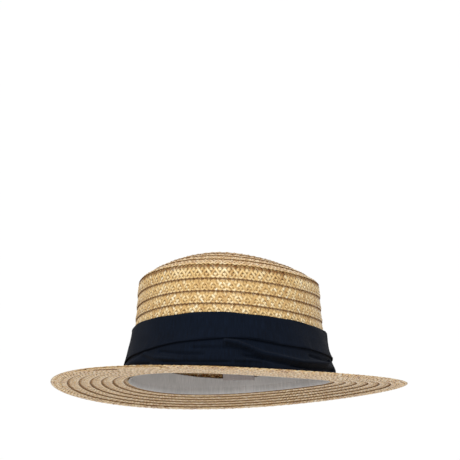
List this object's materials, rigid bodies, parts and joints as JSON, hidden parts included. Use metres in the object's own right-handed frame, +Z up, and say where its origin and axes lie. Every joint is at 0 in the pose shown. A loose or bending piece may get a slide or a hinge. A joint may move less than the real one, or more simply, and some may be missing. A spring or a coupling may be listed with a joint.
{
  "type": "straw sun hat",
  "caption": "Straw sun hat sewn from overlapping turns of flat braid, with a domed oval crown, a stiff gently warped brim and a folded dark cloth band.",
  "frame": {"origin": "on the surface that the brim's lowest edge stands on, under the middle of the hat", "axes": "+Z up through the crown, -Y towards the front of the hat, +Y towards its back"},
  "size_m": [0.3008, 0.3328, 0.118],
  "materials": {
    "straw_braid": "natural glossy wheat straw plait",
    "straw_thread": "matt straw-coloured sewing thread",
    "hatband_cloth": "matt navy cloth with fine ribs",
    "navy_thread": "matt navy sewing thread",
    "sweatband_cloth": "soft pale cotton tape",
    "cotton_thread": "matt pale cotton thread",
    "label_cloth": "woven blank label"
  },
  "bodies": {
    "hat": {"tip_button": "straw_braid", "tip_row_1": "straw_braid", "tip_row_2": "straw_braid", "tip_row_3": "straw_braid", "tip_row_4": "straw_braid", "tip_row_5": "straw_braid", "tip_row_6": "straw_braid", "tip_row_7": "straw_braid", "crown_row_1": "straw_braid", "crown_row_2": "straw_braid", "crown_row_3": "straw_braid", "crown_row_4": "straw_braid", "crown_row_5": "straw_braid", "crown_row_6": "straw_braid", "crown_row_7": "straw_braid", "crown_row_8": "straw_braid", "brim_row_1": "straw_braid", "brim_row_2": "straw_braid", "brim_row_3": "straw_braid", "brim_row_4": "straw_braid", "brim_row_5": "straw_braid", "brim_row_6": "straw_braid", "brim_row_7": "straw_braid", "braid_tail": "straw_braid", "tip_stitching": "straw_thread", "crown_stitching": "straw_thread", "brim_stitching": "straw_thread", "hatband": "hatband_cloth", "hatband_tacks": "navy_thread", "sweatband": "sweatband_cloth", "sweatband_stitching": "cotton_thread"},
    "label_tag": {"label": "label_cloth", "label_stitching": "cotton_thread"}
  },
  "joints": [
    {"name": "label_hinge", "type": "hinge", "parent": "hat", "child": "label_tag", "pos_m": [0, 0.09598, 0.02161], "axis": [1, 0, 0], "range_deg": [0, 150], "stiffness_Nm_per_rad": 0.0002}
  ]
}
